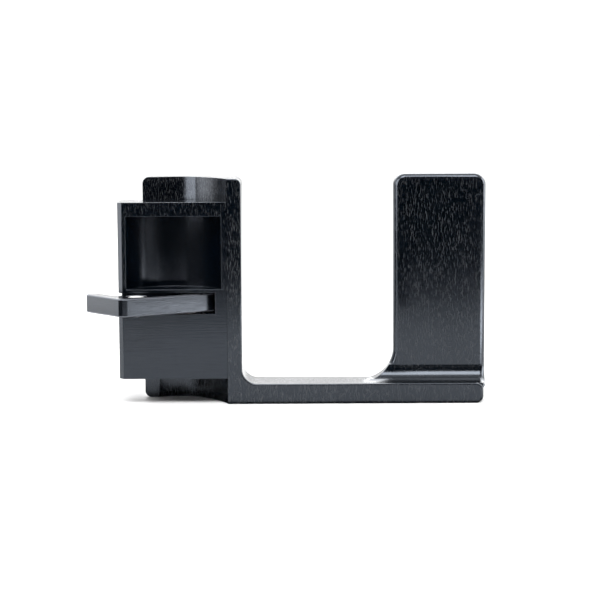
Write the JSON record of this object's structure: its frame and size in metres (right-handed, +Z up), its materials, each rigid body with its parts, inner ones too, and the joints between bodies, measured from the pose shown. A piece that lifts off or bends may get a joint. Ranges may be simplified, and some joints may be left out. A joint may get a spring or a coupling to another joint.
{
  "type": "mounting block",
  "caption": "Machined aluminium U-shaped cradle with a bolted clamp block, a round recess and a swinging thumb lever held by a spring plunger.",
  "frame": {"origin": "middle of the flat underside of the cradle's base, in the plane it stands on", "axes": "+Z up, +X to the right along the cradle's base, +Y from the front faces to the back"},
  "size_m": [0.1001, 0.0261, 0.0573],
  "materials": {
    "black_anodised": "black anodised, fine satin milled",
    "brushed_black": "brushed, then black anodised",
    "bright_steel": "ground and polished",
    "black_steel": "black oxide",
    "bronze": "sintered bronze"
  },
  "bodies": {
    "frame": {"bracket_frame": "black_anodised", "clamp_block": "black_anodised", "pivot_pin": "bright_steel", "pivot_retaining_screw": "black_steel", "block_screw_1": "black_steel", "block_screw_2": "black_steel", "block_screw_3": "black_steel", "block_screw_4": "black_steel", "block_dowel_1": "bright_steel", "block_dowel_2": "bright_steel"},
    "lever": {"thumb_lever": "brushed_black", "lever_bush": "bronze", "lower_thrust_washer": "bronze", "upper_wave_washer": "bright_steel", "plunger_body": "bright_steel", "plunger_spring": "bright_steel"},
    "ball": {"plunger_ball": "bright_steel"}
  },
  "joints": [
    {"name": "lever_swing", "type": "hinge", "parent": "frame", "child": "lever", "pos_m": [-0.0414, -0.0019, 0.02545], "axis": [0, 0, 1], "range_deg": [-29.7, 16]},
    {"name": "ball_slide", "type": "slide", "parent": "lever", "child": "ball", "axis": [0, 0, 1], "range_m": [0, 0.0007], "stiffness_N_per_m": 3000, "springref_m": -0.0003, "deforming": ["plunger_spring"]}
  ]
}
